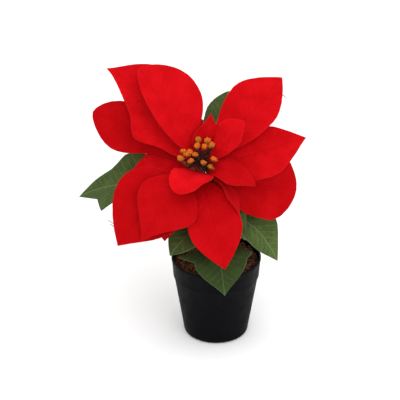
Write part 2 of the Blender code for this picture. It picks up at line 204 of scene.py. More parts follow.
BRACTS = (
    # Outer ring, the largest and lowest
    Blade("bract_outer_upper_left", seat=16.5, side=148, tip=(-109, 62, 262), face=(0.3, -0.8, 0.5),
          left=31, right=34, widest=0.42, base=0.75, point=1.2, arch=(-1, 8), sway=16,
          fold=(12, -6), wave=1.5, swells=((-1, 0.44, 9, 0.2), (1, 0.77, 12, 0.26))),
    Blade("bract_outer_left", seat=22, side=164, tip=(-123, 48, 221), face=(-0.25, -0.8, 0.45),
          left=26, right=24, widest=0.68, base=2.6, point=0.65, arch=(-5, 4), sway=9),
    Blade("bract_outer_left_low", seat=27.5, side=200, tip=(-92, 8, 164), face=(0, -0.6, 0.8),
          left=15, right=36, widest=0.42, arch=(2, 2)),
    Blade("bract_outer_front_left", seat=18, side=215, tip=(-97, -35, 115), face=(-0.1, -0.85, 0.5),
          left=33, right=41, widest=0.43, point=1.0, arch=(14, 8), sway=7, wave=1.5),
    Blade("bract_outer_front_low", seat=29, side=245, tip=(-51, -22, 113), face=(-0.1, -0.7, 0.6),
          left=8, right=26, widest=0.4, point=1.3, arch=(4, 4), swells=((1, 0.8, 17, 0.25),)),
    Blade("bract_outer_right_low", seat=20, side=335, tip=(79, 5, 156), face=(0.4, -0.8, 0.4),
          left=34, right=34, widest=0.68, base=0.4, point=0.6, wave=2, waves=3),
    Blade("bract_outer_back_left", seat=24, side=115, tip=(-46, 92, 212), face=(0, -0.5, 0.9),
          left=24, right=24),
    Blade("bract_outer_back_right", seat=21, side=55, tip=(52, 92, 208), face=(0, -0.5, 0.9),
          left=24, right=24),
    # Middle ring
    Blade("bract_middle_upper_left", seat=11, side=135, tip=(-77, 50, 268), face=(0.2, -0.9, 0.4),
          left=13, right=39, stalk=0.16, widest=0.55, base=0.6, point=0.7, arch=(12, 26),
          swells=((1, 0.4, 2, 0.3),)),
    Blade("bract_middle_upper_right", seat=10, side=50, tip=(64, 36, 264), face=(-0.3, -0.85, 0.4),
          left=30, right=24, widest=0.62, base=0.9, point=0.95, arch=(3, 10), sway=3,
          fold=(14, 14)),
    Blade("bract_middle_right", seat=14, side=0, tip=(87, 2, 215), face=(-0.1, -0.7, 0.7),
          left=24, right=30, widest=0.52, base=0.5, point=1.05, arch=(5, 6)),
    Blade("bract_middle_front_left", seat=11, side=225, tip=(-74, -47, 125), face=(-0.2, -0.7, 0.7),
          left=31, right=30, widest=0.42, point=1.5, arch=(20, 12), swells=((-1, 0.48, 6, 0.3),)),
    Blade("bract_middle_front", seat=13, side=272, tip=(8, -68, 107), face=(0, -0.8, 0.6),
          left=27, right=26, stalk=0.1, widest=0.52, base=0.55, point=1.0, arch=(16, 12)),
    # Inner ring, the smallest
    Blade("bract_inner_front", seat=7.5, side=264, tip=(-38, -46, 178), face=(-0.1, -0.4, 1),
          left=19, right=18, widest=0.5, base=0.45, point=0.5, arch=(12, 8),
          swells=((-1, 0.22, 6, 0.25),), small=True),
    Blade("bract_inner_right", seat=4, side=20, tip=(27, -12, 239), face=(-0.3, -0.6, 0.5),
          left=17, right=13, widest=0.62, base=0.8, point=0.85, arch=(-5, 4), small=True),
    Blade("bract_inner_back", seat=4, side=90, tip=(-5, 16, 236), face=(0.2, -1, 0.1),
          left=12, right=9, widest=0.28, base=0.7, point=1.6, arch=(0, 0),
          swells=((1, 0.7, 5, 0.3),), small=True),
    Blade("bract_inner_front_right", seat=4, side=330, tip=(37, -40, 184), face=(0.2, -0.5, 0.8),
          left=12, right=13, base=0.45, point=0.7, swells=((-1, 0.28, 6, 0.3), (1, 0.6, 3, 0.3)),
          small=True),
    Blade("bract_inner_low_right", seat=10, side=318, tip=(22, -50, 157), face=(0.75, -0.2, 0.6),
          left=12, right=11, base=0.6, small=True),
)

LEAVES = (
    Blade("leaf_left", seat=46, side=150, tip=(-140, 58, 121), face=(0, -0.5, 0.85),
          left=22, right=26, arch=(32, 26), swells=((1, 0.48, 9, 0.25),),
          lobes=((-1, 0.66, 16), (1, 0.6, 4))),
    Blade("leaf_back_right", seat=15, side=85, tip=(13, 84, 228), face=(0, -0.8, 0.6),
          left=14, right=20, widest=0.6, base=1.0, point=0.8),
    Blade("leaf_front_left", seat=70, side=225, tip=(-46, -30, 101), face=(-0.3, -0.5, 0.8),
          left=20, right=20),
    Blade("leaf_front", seat=82, side=280, tip=(8, -60, 73), face=(0, -0.6, 0.8),
          left=26, right=26, widest=0.5, point=1.2, arch=(6, 12),
          lobes=((-1, 0.45, 8), (1, 0.42, 17))),
    Blade("leaf_right", seat=62, side=345, tip=(61, -15, 87), face=(0.3, -0.5, 0.8),
          left=26, right=20, arch=(24, 20)),
    Blade("leaf_front_right", seat=33, side=305, tip=(28, -36, 122), face=(0.3, -0.6, 0.8),
          left=16, right=16),
    Blade("leaf_back_left", seat=64, side=125, tip=(-60, 90, 150), face=(0, 0, 1),
          left=20, right=20, arch=(14, 14)),
    Blade("leaf_back", seat=29, side=35, tip=(68, 66, 128), face=(0, -0.7, 0.7), left=26, right=24,
          stalk=0.02, base=0.25, arch=(8, 12)),
)

# Further swells, which only the cloth has. They close gaps between blades
# that the model's thicker blades have to keep.
WIDER = {
    "bract_inner_front": ((-1, 0.42, 3.0, 0.25),),
    "bract_inner_front_right": ((-1, 0.10, 3.0, 0.2),),
    "bract_inner_right": ((1, 0.08, 3.0, 0.2),),
    "bract_middle_front": ((-1, 0.06, 3.0, 0.16), (1, 0.08, 8.0, 0.16)),
    "bract_outer_left_low": ((1, 0.5, 4.5, 0.4),),
    "leaf_back": ((-1, 0.06, 8.0, 0.2), (1, 0.06, 8.0, 0.2)),
}

# Cloth relief, in millimetres
VEIN_SPACING = 7.5
VEIN_SLANT = 0.95
VEIN_BEND = 0.006
VEIN_DEPTH = 0.32
VEIN_CALM_MARGIN = 6
VEIN_CALM_MIDDLE = 3
VEIN_CALM_TIP = 60
VEIN_START = 8
RIB_DEPTH = 0.28
RIB_WIDTH = 1.2
RIB_CALM_MARGIN = 3
VEIN_MARGIN = (0.5, 7.0)
PUCKER = 0.6
PUCKER_SIZE = 22.0
PUCKER_APART = 9
PUCKER_START = 2.5

# How fast the ripple and the uneven cut set in from the foot and the tip
WAVE_EASE = (3, 4)
FRAY_EASE = (5, 8)

# Uneven cut of the margin, in millimetres, and how many times that on some
FRAY = 0.35
FRAY_SIZE = 4.5
FRAY_APART = 40
RAGGED = {"bract_outer_right_low": 2.5, "bract_middle_right": 1.5}

# Loose threads on a margin: side, part of the blade, length in millimetres
THREADS = {
    "bract_middle_upper_right": ((1, 0.88, 6.0),),
    "bract_outer_front_left": ((1, 0.86, 7.5), (1, 0.878, 5.0)),
}
THREAD_RADIUS = 0.36 * MM
THREAD_DROP = 0.12
THREAD_STEPS = (0, 0.25, 0.5, 0.75, 1)
THREAD_TAPER = (1, 1, 0.9, 0.8, 0.5)
THREAD_SIDES = 6
THREAD_SLOT = 2

# How much painted shade darkens a blade, from 0 to about 1, on most blades and on these
PAINTED_SHADE = 0.3
PAINTED_SHADE_BY_BLADE = {
    "bract_outer_left": 1.0, "bract_outer_left_low": 0.0, "bract_outer_front_low": 1.0,
    "bract_outer_right_low": 0.75, "bract_outer_front_left": 1.0, "bract_inner_back": 0.65,
    "bract_inner_low_right": 0.75, "bract_middle_front_left": 0.85, "bract_middle_front": 0.75,
    "bract_inner_front_right": 1.0, "bract_middle_right": 0.5, "bract_middle_upper_left": 0.4,
    "bract_inner_front": 0.0, "bract_inner_right": 0.0,
    "leaf_front": 1.15, "leaf_front_left": 0.0, "leaf_back": 0.7, "leaf_front_right": 0.7,
    "leaf_left": 0.35, "leaf_back_right": 0.5, "leaf_right": 0.0,
}

# Colours
RED, RED_CLOUD = (0.475, 0.0016, 0.0038), (0.585, 0.0034, 0.0076)
RED_NAP = (0.66, 0.003, 0.007)
# Painted shade on the blades that get less light
RED_PAINTED_SHADE = (0.29, 0.0, 0.001)
RED_VEIN = (0.25, 0.0, 0.002)
# Painted shade towards a bract's foot
RED_FOOT_SHADE = (0.16, 0.0, 0.001)
RED_CUT = (0.75, 0.05, 0.045)
RED_SHEEN = (1.0, 0.12, 0.1, 1)
GREEN, GREEN_CLOUD = (0.028, 0.058, 0.009), (0.056, 0.096, 0.018)
GREEN_NAP = (0.09, 0.12, 0.032)
GREEN_NET = (0.22, 0.28, 0.12)
# Painted shade on the leaves that get less light
GREEN_PAINTED_SHADE = (0.018, 0.036, 0.008)
GREEN_VEIN = (0.23, 0.28, 0.11)
# Painted shade towards a leaf's foot
GREEN_FOOT_SHADE = (0.016, 0.015, 0.005)
GREEN_CUT = (0.17, 0.22, 0.13)
GREEN_SHEEN = (0.7, 1.0, 0.6, 1)
THREAD_DARK, THREAD_LIGHT = (0.03, 0.025, 0.014), (0.09, 0.06, 0.03)
PLASTIC, PLASTIC_DUST = (0.0030, 0.0027, 0.0036), (0.018, 0.016, 0.014)
COIR_DARK, COIR_LIGHT = (0.032, 0.010, 0.004), (0.36, 0.135, 0.045)
COIR_SPOT = (0.03, 0.013, 0.008)
STEM_DARK, STEM_LIGHT = (0.035, 0.06, 0.018), (0.09, 0.14, 0.04)
# Painted shade on the stem's head, under the bracts and buds
STEM_HEAD_SHADE = (0.050, 0.012, 0.010)
BUD_OCHRE, BUD_OLIVE = (0.66, 0.115, 0.005), (0.30, 0.12, 0.010)
BUD_GRAINS = (0.82, 0.24, 0.025)
BUD_PITS = (0.07, 0.022, 0.005)
# Painted shade under the heads
BUD_SHADE = (0.055, 0.020, 0.006)
BUD_STALK_DARK, BUD_STALK_LIGHT = (0.016, 0.005, 0.005), (0.055, 0.013, 0.009)
FOAM_DARK, FOAM_LIGHT = (0.06, 0.08, 0.05), (0.14, 0.17, 0.11)
PAPER_DARK, PAPER_LIGHT = (0.96, 0.96, 0.96), (0.97, 0.97, 0.97)

# Heights, in metres, over which dust gathers on the pot, and over which painted shade darkens the
# stem
RIM_HEIGHTS = (0.070, 0.086)
STEM_SHADE_HEIGHTS = (0.160, 0.180)

# Light and camera: name, place, size and power of each lamp, in metres
LAMPS = (("key", (0.45, -1.45, 1.45), 2.2, 19), ("top", (-0.1, 0.1, 1.7), 2.4, 15))
LAMP_AIM = (0, 0, 0.15)
SKY_STRENGTH = 0.87
FLOOR_SIZE = 8
CAMERA_PLACE = (-0.0163, -1.5966, 0.9787)
CAMERA_AIM = (-0.0163, 0, 0.1476)
CAMERA_LENS = 163.8
CAMERA_SENSOR = 36


def add_object(name, bm, materials, sharp=40):
    """Put a bmesh into the scene as a named object, shaded smooth."""
    bmesh.ops.recalc_face_normals(bm, faces=bm.faces)
    mesh = bpy.data.meshes.new(name)
    bm.to_mesh(mesh)
    bm.free()
    for material in materials:
        mesh.materials.append(material)
    mesh.shade_smooth()
    mesh.set_sharp_from_angle(angle=math.radians(sharp))
    item = bpy.data.objects.new(name, mesh)
    bpy.context.collection.objects.link(item)
    return item


def settle(item, slot, *nodes):
    """Ride on the one body and stand for its nodes. The slot it is given is not used."""
    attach(item, "root")
    if nodes:
        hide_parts(*nodes)


def apply_modifiers(item):
    """Make what the modifiers show the object's own mesh."""
    bpy.context.view_layer.update()
    shape = item.evaluated_get(bpy.context.evaluated_depsgraph_get())
    mesh = bpy.data.meshes.new_from_object(shape)
    item.modifiers.clear()
    item.data = mesh


def skin(bm, first, second):
    """Join two rings of points with faces, either of which may be one point."""
    count = max(len(first), len(second))
    for step in range(count):
        after = (step + 1) % count
        corners = [first[step % len(first)], first[after % len(first)],
                   second[after % len(second)], second[step % len(second)]]
        bm.faces.new(list(dict.fromkeys(corners)))


def ring_at(bm, middle, across, along, radius, sides):
    """A ring of points, or one point where the radius is nothing."""
    if radius < 0.01 * MM:
        return [bm.verts.new(middle)]
    ring = []
    for step in range(sides):
        angle = 2 * math.pi * step / sides
        out = math.cos(angle) * across + math.sin(angle) * along
        ring.append(bm.verts.new(middle + radius * out))
    return ring


def tube(bm, points, radii, sides):
    """Closed tube along points, its last point drawn to an end."""
    side = (points[1] - points[0]).orthogonal().normalized()
    rings = []
    for place, middle in enumerate(points):
        before = points[max(place - 1, 0)]
        after = points[min(place + 1, len(points) - 1)]
        way = (after - before).normalized()
        side = (side - side.dot(way) * way).normalized()
        rings.append(ring_at(bm, middle, side, way.cross(side), radii[place], sides))
    for lower, upper in zip(rings, rings[1:]):
        skin(bm, lower, upper)
    for cap in (rings[0], rings[-1]):
        if len(cap) > 2:
            bm.faces.new(cap)
    return rings


class Shade:
    """A material's node tree, with short calls for the nodes used here."""

    def __init__(self, name):
        self.material = bpy.data.materials.new(name)
        self.material.use_nodes = True
        self.nodes = self.material.node_tree.nodes
        self.links = self.material.node_tree.links
        self.nodes.clear()
        self.out = self.nodes.new("ShaderNodeOutputMaterial")
        self.surface = self.nodes.new("ShaderNodeBsdfPrincipled")
        self.links.new(self.surface.outputs[0], self.out.inputs["Surface"])

    def put(self, socket, value):
        """Link a socket to another, or set it to a plain value."""
        if isinstance(value, bpy.types.NodeSocket):
            self.links.new(value, socket)
        else:
            socket.default_value = value

    def set(self, **values):
        """Set the surface's own sockets, named with underscores for spaces."""
        for name, value in values.items():
            self.put(self.surface.inputs[name.replace("_", " ")], value)

    def sum(self, operation, first, second=0.0, third=0.0):
        """One step of arithmetic."""
        node = self.nodes.new("ShaderNodeMath")
        node.operation = operation
        for socket, value in zip(node.inputs, (first, second, third)):
            self.put(socket, value)
        return node.outputs[0]

    def mark(self, name):
        """A value that each point of the mesh carries."""
        node = self.nodes.new("ShaderNodeAttribute")
        node.attribute_name = name
        return node.outputs["Fac"]

    def place(self):
        """Where a point of the object is."""
        return self.nodes.new("ShaderNodeTexCoord").outputs["Object"]

    def height(self):
        """How high a point of the object is."""
        node = self.nodes.new("ShaderNodeSeparateXYZ")
        self.links.new(self.place(), node.inputs[0])
        return node.outputs[2]

    def grain(self, scale, detail=2.0, rough=0.5, stretch=None):
        """Noise of this many millimetres."""
        node = self.nodes.new("ShaderNodeTexNoise")
        node.inputs["Scale"].default_value = 1 / (scale * MM)
        node.inputs["Detail"].default_value = detail
        node.inputs["Roughness"].default_value = rough
        where = self.place()
        if stretch:
            mapping = self.nodes.new("ShaderNodeMapping")
            mapping.inputs["Scale"].default_value = stretch
            self.links.new(where, mapping.inputs["Vector"])
            where = mapping.outputs[0]
        self.links.new(where, node.inputs["Vector"])
        return node.outputs["Fac"]

    def fit(self, value, low, high, to_low=0.0, to_high=1.0):
        """Map a range onto another smoothly, and no further."""
        node = self.nodes.new("ShaderNodeMapRange")
        node.interpolation_type = "SMOOTHSTEP"
        for socket, number in zip(node.inputs, (value, low, high, to_low, to_high)):
            self.put(socket, number)
        return node.outputs[0]

    def patches(self, scale, detail=2.0, rough=0.5, stretch=None):
        """Noise spread out between 0 and 1."""
        return self.fit(self.grain(scale, detail, rough, stretch), 0.3, 0.7)

    def blend(self, factor, first, second):
        """Mix two colours."""
        node = self.nodes.new("ShaderNodeMix")
        node.data_type = "RGBA"
        self.put(node.inputs[0], factor)
        for socket, colour in zip(node.inputs[6:8], (first, second)):
            self.put(socket, (*colour, 1) if isinstance(colour, tuple) else colour)
        return node.outputs[2]

    def tint(self, colour, mask, share, other):
        """Mix at most this share of another colour in where a mask is."""
        return self.blend(self.sum("MULTIPLY", mask, share), colour, other)

    def net(self, size):
        """1 on the edges of cells of this many millimetres, fading to 0."""
        node = self.nodes.new("ShaderNodeTexVoronoi")
        node.feature = "DISTANCE_TO_EDGE"
        node.inputs["Scale"].default_value = 1 / (size * MM)
        self.links.new(self.place(), node.inputs["Vector"])
        return self.fit(node.outputs["Distance"], 0.12, 0.0)

    def weave(self, along, side, pitch):
        """Threads over and under each other, a pitch of millimetres apart."""
        turn = 2 * math.pi / pitch
        warp = self.sum("SINE", self.sum("MULTIPLY", along, turn))
        weft = self.sum("SINE", self.sum("MULTIPLY", side, turn))
        return self.sum("MULTIPLY", warp, weft)

    def bump(self, height, depth, strength=1.0, under=None):
        """Relief this many millimetres in depth, over another relief if given."""
        node = self.nodes.new("ShaderNodeBump")
        node.inputs["Strength"].default_value = strength
        node.inputs["Distance"].default_value = depth * MM
        self.put(node.inputs["Height"], height)
        if under:
            self.put(node.inputs["Normal"], under)
        return node.outputs[0]

    def velvet(self, along, side, relief):
        """Fuzz over the threads of the cloth over its pressed relief."""
        weave = self.bump(self.weave(along, side, 0.7), 0.04, 0.6, relief)
        return self.bump(self.grain(0.5, 2.0, 0.8), 0.15, 0.5, weave)


def vein_mask(shade, along, side, edge, width):
    """1 on the midrib and side veins of a blade, else 0, as in the relief."""
    reach = shade.sum("ABSOLUTE", side)
    slope = shade.sum("MULTIPLY_ADD", reach, -VEIN_SLANT, along)
    bent = shade.sum("MULTIPLY_ADD", shade.sum("MULTIPLY", side, side), VEIN_BEND, slope)
    half = shade.sum("MULTIPLY", shade.sum("GREATER_THAN", side, 0.0), 0.5)
    run = shade.sum("FRACT", shade.sum("MULTIPLY_ADD", bent, 1 / VEIN_SPACING, half))
    off = shade.sum("ABSOLUTE", shade.sum("MULTIPLY_ADD", run, 2.0, -1.0))
    share = 2 * width / VEIN_SPACING
    side_vein = shade.fit(off, 1 - share, 1.0)
    side_vein = shade.sum("MULTIPLY", side_vein, shade.fit(edge, *VEIN_MARGIN))
    faint = shade.fit(shade.grain(9, 2.0), 0.35, 0.65, 0.3, 1.0)
    side_vein = shade.sum("MULTIPLY", side_vein, faint)
    rib = shade.fit(reach, 1.3 * width, 0.3 * width)
    return shade.sum("MAXIMUM", side_vein, rib)


def red_cloth(rim):
    """Velvety red cloth with pressed veins and painted shade, or the pale cut edge of it."""
    shade = Shade("red_cloth_rim" if rim else "red_cloth")
    along, side, edge = shade.mark("along"), shade.mark("side"), shade.mark("edge")
    veins = vein_mask(shade, along, side, edge, width=0.6)
    pale = 1.0 if rim else shade.fit(edge, 0.6, 0.1)
    colour = shade.blend(shade.patches(14, 3.0), RED, RED_CLOUD)
    colour = shade.tint(colour, shade.patches(1.1, 3.0, 0.7), 0.3, RED_NAP)
    # Painted shade, darker on the blades that get less light
    colour = shade.tint(colour, shade.mark("painted_shade"), 0.55, RED_PAINTED_SHADE)
    colour = shade.tint(colour, veins, 0.16, RED_VEIN)
    # Painted shade towards the foot, in under the flower
    colour = shade.tint(colour, shade.fit(along, 24.0, 4.0), 0.45, RED_FOOT_SHADE)
    colour = shade.tint(colour, pale, 0.12, RED_CUT)
    pressed = shade.bump(shade.sum("SUBTRACT", 1.0, veins), 0.12, 0.5)
    shade.set(Base_Color=colour, Roughness=0.85, Sheen_Weight=0.06, Sheen_Roughness=0.3,
              Sheen_Tint=RED_SHEEN, Specular_IOR_Level=0.04,
              Normal=shade.velvet(along, side, pressed))
    return shade.material


def loose_thread():
    """Dark thread pulled from the cloth."""
    shade = Shade("loose_thread")
    twist = shade.patches(0.6, 2.0, 0.6)
    shade.set(Base_Color=shade.blend(twist, THREAD_DARK, THREAD_LIGHT), Roughness=0.9,
              Normal=shade.bump(twist, 0.05, 0.5))
    return shade.material


def green_cloth(rim):
    """Leaf cloth with light veins and painted shade, or the light cut edge of it."""
    shade = Shade("green_cloth_rim" if rim else "green_cloth")
    along, side, edge = shade.mark("along"), shade.mark("side"), shade.mark("edge")
    veins = vein_mask(shade, along, side, edge, width=0.55)
    # Veins fainter on leaves with more painted shade
    faint = shade.sum("MULTIPLY_ADD", shade.mark("painted_shade"), -0.22, 0.5)
    pale = 1.0 if rim else shade.fit(edge, 0.8, 0.1)
    colour = shade.blend(shade.patches(11, 3.0), GREEN, GREEN_CLOUD)
    colour = shade.tint(colour, shade.patches(1.2, 3.0, 0.7), 0.4, GREEN_NAP)
    colour = shade.tint(colour, shade.net(2.6), 0.16, GREEN_NET)
    # Painted shade, darker on the leaves that get less light
    colour = shade.tint(colour, shade.mark("painted_shade"), 0.6, GREEN_PAINTED_SHADE)
    colour = shade.tint(colour, veins, faint, GREEN_VEIN)
    # Painted shade towards the foot, where the flower shades the leaf
    colour = shade.tint(colour, shade.fit(along, 46.0, 14.0), 0.85, GREEN_FOOT_SHADE)
    colour = shade.tint(colour, pale, shade.fit(along, 15.0, 35.0, 0.0, 0.35), GREEN_CUT)
    raised = shade.bump(veins, 0.3, 0.7)
    shade.set(Base_Color=colour, Roughness=0.8, Sheen_Weight=0.05, Sheen_Roughness=0.4,
              Sheen_Tint=GREEN_SHEEN, Specular_IOR_Level=0.12,
              Normal=shade.velvet(along, side, raised))
    return shade.material


def black_plastic():
    """Matt moulded plastic with a fine grain and a little dust at the rim."""
    shade = Shade("black_plastic")
    dust = shade.fit(shade.grain(5, 5.0, 0.7), 0.52, 0.75)
    rim = shade.fit(shade.height(), *RIM_HEIGHTS, 0.08, 0.4)
    rough = shade.fit(shade.grain(9, 4.0), 0.3, 0.7, 0.48, 0.62)
    shade.set(Base_Color=shade.tint(PLASTIC, dust, rim, PLASTIC_DUST), Roughness=rough,
              Specular_IOR_Level=0.035,
              Normal=shade.bump(shade.grain(0.7, 3.0, 0.6), 0.05, 0.5))
    return shade.material


def brown_coir():
    """Shredded coir, from nearly black to reddish brown by fibre."""
    shade = Shade("brown_coir")
    spot = shade.fit(shade.grain(2.5, 4.0, 0.7), 0.35, 0.7)
    colour = shade.blend(shade.mark("tone"), COIR_DARK, COIR_LIGHT)
    colour = shade.tint(colour, spot, 0.5, COIR_SPOT)
    shade.set(Base_Color=colour, Roughness=0.9, Specular_IOR_Level=0.2,
              Normal=shade.bump(shade.grain(0.6, 3.0, 0.7), 0.2, 0.7))
    return shade.material


def green_stalk():
    """Moulded stem, olive green with darker streaks, and painted shade in dark red on its head."""
    shade = Shade("green_stalk")
    streak = shade.patches(1.5, 3.0, 0.6, (1, 1, 0.12))
    # Painted shade on the stem's head, under the bracts and buds
    head = shade.fit(shade.height(), *STEM_SHADE_HEIGHTS)
    colour = shade.blend(head, shade.blend(streak, STEM_DARK, STEM_LIGHT), STEM_HEAD_SHADE)
    shade.set(Base_Color=colour, Roughness=0.6, Normal=shade.bump(streak, 0.15, 0.5))
    return shade.material


def bud_skin():
    """Grainy golden ochre heads, each with its own leaning to olive, with painted shade underneath.
    """
    shade = Shade("bud_skin")
    crumb = shade.fit(shade.grain(0.9, 3.0, 0.7), 0.32, 0.68)
    pit = shade.fit(shade.grain(1.7, 3.0, 0.7), 0.52, 0.66)
    colour = shade.blend(shade.mark("tone"), BUD_OCHRE, BUD_OLIVE)
    colour = shade.tint(colour, crumb, 0.4, BUD_GRAINS)
    colour = shade.tint(colour, pit, 0.85, BUD_PITS)
    # Painted shade under the heads
    colour = shade.tint(colour, shade.mark("under"), 0.85, BUD_SHADE)
    shade.set(Base_Color=colour, Roughness=0.8, Specular_IOR_Level=0.15,
              Normal=shade.bump(crumb, 0.35, 0.8))
    return shade.material


def bud_stalk():
    """Dark stalks under the heads."""
    shade = Shade("bud_stalk")
    streak = shade.patches(0.8, 3.0, 0.6)
    shade.set(Base_Color=shade.blend(streak, BUD_STALK_DARK, BUD_STALK_LIGHT), Roughness=0.8,
              Specular_IOR_Level=0.1, Normal=shade.bump(streak, 0.1, 0.5))
    return shade.material


def filler_foam():
    """Dull cellular foam, which the coir hides."""
    shade = Shade("filler_foam")
    cell = shade.fit(shade.grain(0.8, 4.0, 0.8), 0.35, 0.65)
    shade.set(Base_Color=shade.blend(cell, FOAM_DARK, FOAM_LIGHT), Roughness=0.95,
              Normal=shade.bump(cell, 0.3, 0.8))
    return shade.material


def floor_paper():
    """Plain pale paper."""
    shade = Shade("floor_paper")
    shade.set(Base_Color=shade.blend(shade.patches(3, 2.0), PAPER_DARK, PAPER_LIGHT),
              Roughness=0.9, Specular_IOR_Level=0.1)
    return shade.material


def wall_radius(height):
    """Outer radius of the pot's tapered body below its collar."""
    part = height / (POT_HEIGHT - POT_COLLAR_HEIGHT)
    return POT_BASE_RADIUS + (POT_SHOULDER_RADIUS - POT_BASE_RADIUS) * part


def bore_radius(height):
    """Inner radius of the pot."""
    spread = POT_RIM_RADIUS - POT_LIP - POT_BASE_RADIUS
    return POT_BASE_RADIUS - POT_WALL + spread * height / POT_HEIGHT


def quarter_turn(steps):
    """Sine and cosine at even steps of a quarter turn."""
    angles = [math.pi / 2 * step / steps for step in range(steps + 1)]
    return [(math.sin(angle), math.cos(angle)) for angle in angles]


def pot_profile():
    """Radius and height along the pot's section: rim, outside, base, inside."""
    collar = POT_HEIGHT - POT_COLLAR_HEIGHT
    collar_radius = wall_radius(collar)
    lip = POT_HEIGHT - POT_LIP_HEIGHT
    inside, outside = bore_radius(POT_HEIGHT), POT_RIM_RADIUS
    profile = [(inside, POT_HEIGHT - 2 * POT_EDGE)]
    profile += [(inside + POT_EDGE * (1 - cosine), POT_HEIGHT - POT_EDGE * (1 - sine))
                for sine, cosine in quarter_turn(POT_EDGE_STEPS)]
    profile += [(outside - POT_EDGE * (1 - sine), POT_HEIGHT - POT_EDGE * (1 - cosine))
                for sine, cosine in quarter_turn(POT_EDGE_STEPS)]
    profile += [
        (outside, lip + 0.3 * MM),
        (outside - 0.15 * MM, lip),
        (outside - POT_LIP, lip - POT_LIP),
        (collar_radius + POT_COLLAR_STEP + 0.05 * MM, collar + 0.6 * MM),
        (collar_radius + 0.8 * POT_COLLAR_STEP, collar),
        (collar_radius + 0.2 * POT_COLLAR_STEP, collar - 0.5 * POT_COLLAR_STEP),
        (collar_radius - 0.1 * MM, collar - 1.2 * POT_COLLAR_STEP),
        (wall_radius(0.5 * collar), 0.5 * collar),
    ]
    middle = wall_radius(POT_CORNER) - POT_CORNER
    profile += [(middle + POT_CORNER * cosine, POT_CORNER * (1 - sine))
                for sine, cosine in quarter_turn(POT_CORNER_STEPS)]
    profile += [(0, 0), (0, POT_FLOOR), (bore_radius(POT_FLOOR) - POT_CORNER, POT_FLOOR),
                (bore_radius(POT_FLOOR + POT_CORNER), POT_FLOOR + POT_CORNER)]
    return profile


def build_pot(material):
    """The pot, turned from its section."""
    bm = bmesh.new()
    across, along = Vector((1, 0, 0)), Vector((0, 1, 0))
    rings = [ring_at(bm, Vector((0, 0, height)), across, along, radius, POT_SIDES)
             for radius, height in pot_profile()]
    for upper, lower in zip(rings, rings[1:] + rings[:1]):
        if len(upper) > 1 or len(lower) > 1:
            skin(bm, upper, lower)
    item = add_object("pot_shell", bm, [material], sharp=50)
    settle(item, "black_plastic", "pot")


def coir_height(place, reach):
    """Height of the coir's crumbly top at a place, reach being 0 to 1."""
    lump = noise.noise(place / COIR_GRAIN)
    lump += COIR_FINER_SHARE * noise.noise(place * COIR_FINER / COIR_GRAIN)
    return COIR_EDGE + COIR_CROWN * (1 - reach * reach) + COIR_LUMP * lump


def build_coir_bed(material, hole, rim):
    """Crumbly bed of coir between the stem's hole and the pot's wall."""
    bm = bmesh.new()
    tone = bm.verts.layers.float.new("tone")
    rings = []
    for ring in range(COIR_RINGS + 1):
        reach = ring / COIR_RINGS
        radius = hole + (rim - hole) * reach
        points = []
        for step in range(COIR_SIDES):
            angle = 2 * math.pi * step / COIR_SIDES
            place = Vector((radius * math.cos(angle), radius * math.sin(angle), 0))
            crumb = noise.noise(place / CRUMB_SIZE) * CRUMB_HEIGHT * MM
            place.z = coir_height(place, reach) + crumb - CRUMB_SINK
            points.append(bm.verts.new(place))
            points[-1][tone] = COIR_BED_TONE
        rings.append(points)
    across, along = Vector((1, 0, 0)), Vector((0, 1, 0))
    base = Vector((0, 0, FILLER_TOP + GAP))
    for radius in (bore_radius(base.z) - COIR_RIM_GAP, hole):
        rings.append(ring_at(bm, base, across, along, radius, COIR_SIDES))
    for inner, outer in zip(rings, rings[1:] + rings[:1]):
        skin(bm, inner, outer)
    bed = add_object("coir_bed", bm, [material])
    settle(bed, "brown_coir", "coir_topping")


def build_coir_fibres(material, hole, rim, chance):
    """Fibres and shreds that lie on the bed."""
    bm = bmesh.new()
    tone = bm.verts.layers.float.new("tone")
    for _ in range(COIR_FIBRES):
        reach = math.sqrt(chance.uniform(*FIBRE_AREA))
        angle = chance.uniform(0, 2 * math.pi)
        heading = chance.uniform(0, 2 * math.pi)
        turn = chance.uniform(-FIBRE_TURN, FIBRE_TURN)
        length = chance.uniform(*FIBRE_LENGTHS) * MM
        radius = chance.choice(FIBRE_RADII) * MM
        colour = chance.random() ** FIBRE_DARKER
        spot = Vector((math.cos(angle), math.sin(angle), 0)) * (hole + (rim - hole) * reach)
        lift = chance.uniform(0, FIBRE_LIFT) * MM
        points = []
        for step in range(FIBRE_STEPS + 1):
            share = math.hypot(spot.x, spot.y) / rim
            if share > FIBRE_FARTHEST:
                spot *= FIBRE_FARTHEST / share
            place = spot.copy()
            place.z = coir_height(Vector((spot.x, spot.y, 0)), min(share, 1)) + radius
            place.z += lift * math.sin(math.pi * step / FIBRE_STEPS)
            points.append(place)
            spot += Vector((math.cos(heading), math.sin(heading), 0)) * length / FIBRE_STEPS
            heading += turn
        steps = [(after - before).length for before, after in zip(points, points[1:])]
        if min(steps) < FIBRE_SHORTEST_STEP * MM:
            continue
        radii = [radius * share for share in FIBRE_TAPER]
        for ring in tube(bm, points, radii, FIBRE_SIDES):
            for point in ring:
                point[tone] = colour
    item = add_object("coir_fibres", bm, [material], sharp=60)
    settle(item, "brown_coir")


def build_coir(material, chance):
    """Bed of coir and what lies on it."""
    hole = STEM_RADIUS + GAP
    rim = bore_radius(COIR_EDGE) - COIR_RIM_GAP
    build_coir_bed(material, hole, rim)
    build_coir_fibres(material, hole, rim, chance)


def curve_point(points, part):
    """Point on the smooth curve that points pull, by repeated halfway blends."""
    level = [Vector(point) for point in points]
    while len(level) > 1:
        level = [first.lerp(second, part) for first, second in zip(level, level[1:])]
    return level[0]


def curve_way(points, part):
    """Which way that curve runs there."""
    step = 0.001
    low, high = max(part - step, 0), min(part + step, 1)
    return (curve_point(points, high) - curve_point(points, low)).normalized()


